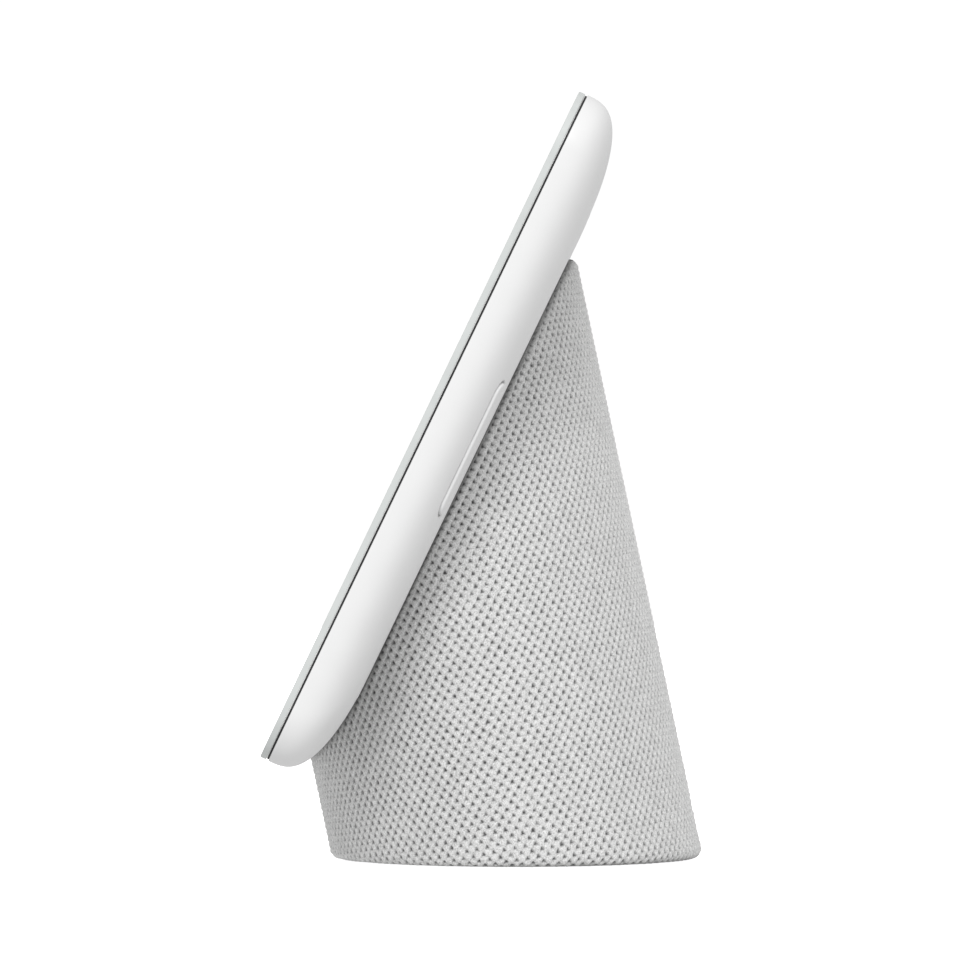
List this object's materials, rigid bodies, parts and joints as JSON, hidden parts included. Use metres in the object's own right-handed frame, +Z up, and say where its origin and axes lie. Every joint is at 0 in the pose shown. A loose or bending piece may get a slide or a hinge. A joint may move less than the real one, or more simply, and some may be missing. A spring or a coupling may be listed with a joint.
{
  "type": "smart display",
  "caption": "Tabletop smart display: a leaning touch-screen head with a volume rocker and microphone switch, on an oval speaker base covered in knitted fabric.",
  "frame": {"origin": "on the table, under the middle of the object's bounding box", "axes": "+Z up, the screen faces -Y, +X is the viewer's right when facing the screen"},
  "size_m": [0.178, 0.0686, 0.1188],
  "materials": {
    "cover_glass": "clear, polished, faint green edge",
    "white_ink": "satin screen print",
    "clear_adhesive": "clear",
    "black_gasket": "matt foam adhesive",
    "screen_panel": "dark glass panel, switched off",
    "white_plastic": "fine moulded satin",
    "inner_plastic": "moulded, matt",
    "circuit_board": "solder mask",
    "black_component": "moulded package",
    "plated_steel": "zinc plated",
    "aluminium_sheet": "rolled sheet",
    "gold_flex": "polyimide film",
    "orange_label": "painted",
    "knit_fabric": "warm light grey knit",
    "foot_rubber": "matt silicone",
    "paper_cone": "pressed pulp",
    "black_rubber": "soft butyl",
    "ferrite": "sintered ferrite",
    "copper_wire": "enamelled wire",
    "cast_weight": "cast",
    "gold_contact": "plated",
    "resin_cloth": "resin-dipped cloth"
  },
  "bodies": {
    "housing": {"cover_glass": "cover_glass", "border_ink": "white_ink", "optical_adhesive": "clear_adhesive", "glass_gasket": "black_gasket", "lcd_panel": "screen_panel", "backlight_unit": "white_plastic", "light_sensor": "black_component", "microphones": "plated_steel", "mic_seals": "black_rubber", "mic_board": "circuit_board", "mid_frame": "inner_plastic", "main_board": "circuit_board", "board_chips": "black_component", "shield_cans": "plated_steel", "heat_spreader": "aluminium_sheet", "wifi_antennas": "gold_flex", "rear_shell": "white_plastic", "frame_screws": "plated_steel", "rocker_pin": "plated_steel", "rocker_bracket": "inner_plastic", "volume_switches": "black_component", "volume_board": "circuit_board", "volume_flex": "gold_flex", "mic_switch_body": "black_component", "switch_board": "circuit_board", "mute_flag": "orange_label", "neck_bracket": "plated_steel", "neck_screws": "plated_steel", "base_core": "inner_plastic", "fabric_sleeve": "knit_fabric", "speaker_box": "inner_plastic", "speaker_baffle": "inner_plastic", "speaker_basket": "plated_steel", "speaker_yoke": "plated_steel", "speaker_magnet": "ferrite", "front_plate": "plated_steel", "speaker_surround": "black_rubber", "speaker_spider": "resin_cloth", "speaker_screws": "plated_steel", "ballast_weight": "cast_weight", "dc_jack": "black_component", "jack_pin": "gold_contact", "jack_bezel": "white_plastic", "jack_board": "circuit_board", "ribbon_cable": "gold_flex", "base_plate": "inner_plastic", "base_screws": "plated_steel", "foot_pad": "foot_rubber"},
    "volume_key": {"volume_rocker": "white_plastic"},
    "mic_slider": {"mic_switch_knob": "white_plastic"},
    "diaphragm": {"speaker_cone": "paper_cone", "dust_cap": "paper_cone", "voice_coil": "copper_wire"}
  },
  "joints": [
    {"name": "volume_tilt", "type": "hinge", "parent": "housing", "child": "volume_key", "pos_m": [0.08065, -0.00354, 0.06527], "axis": [1, 0, 0], "range_deg": [-1.5, 1.5], "stiffness_Nm_per_rad": 0.1},
    {"name": "mic_mute_slide", "type": "slide", "parent": "housing", "child": "mic_slider", "axis": [1, 0, 0], "range_m": [0, 0.0024]},
    {"name": "cone_travel", "type": "slide", "parent": "housing", "child": "diaphragm", "axis": [0, 0.9781, 0.2079], "range_m": [-0.0015, 0.0015], "stiffness_N_per_m": 600, "deforming": ["speaker_surround", "speaker_spider"]}
  ]
}
